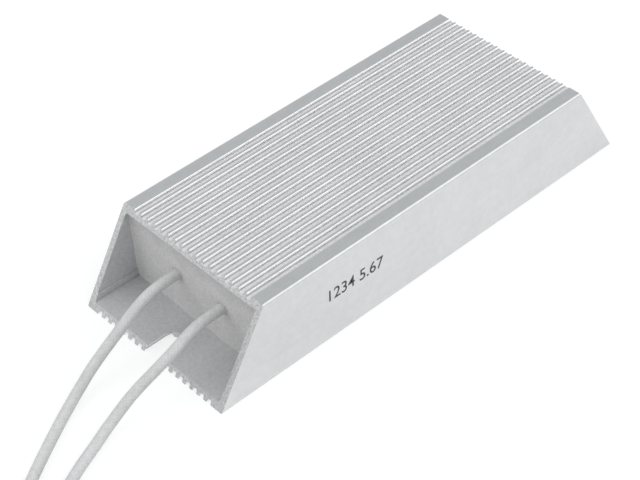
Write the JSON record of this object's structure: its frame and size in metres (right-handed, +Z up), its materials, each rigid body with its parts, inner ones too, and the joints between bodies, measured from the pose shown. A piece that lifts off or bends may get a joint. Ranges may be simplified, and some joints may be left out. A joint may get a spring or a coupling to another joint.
{
  "type": "aluminium housed power resistor",
  "caption": "Ribbed aluminium housing with slanted ends and open mounting slots, filled with cement round wound resistance elements, with insulated leads out of one end.",
  "frame": {"origin": "middle of the housing's mounting face", "axes": "+X along the housing away from its leads, +Z up out of the mounting face, -Y towards the side that is seen"},
  "size_m": [0.2692, 0.1038, 0.03],
  "materials": {
    "housing": "satin",
    "cement": "matte",
    "former": "matte",
    "resistance_wire": "satin",
    "steel": "satin",
    "tinned_copper": "satin",
    "lead_sleeve": "matte"
  },
  "bodies": {
    "root": {"housing": "housing", "cement_fill": "cement", "former_1": "former", "former_2": "former", "winding_1": "resistance_wire", "winding_2": "resistance_wire", "cap_front_1": "steel", "cap_front_2": "steel", "cap_back_1": "steel", "cap_back_2": "steel", "series_link": "steel", "crimp_sleeve_1": "tinned_copper", "crimp_sleeve_2": "tinned_copper", "conductor_1": "tinned_copper", "conductor_2": "tinned_copper", "lead_root_1": "lead_sleeve", "lead_root_2": "lead_sleeve", "lead_run_1": "lead_sleeve", "lead_run_2": "lead_sleeve", "lead_coil_1": "lead_sleeve", "lead_coil_2": "lead_sleeve", "lead_tail_1": "lead_sleeve", "lead_tail_2": "lead_sleeve", "lead_tip_1": "tinned_copper", "lead_tip_2": "tinned_copper"}
  },
  "joints": []
}
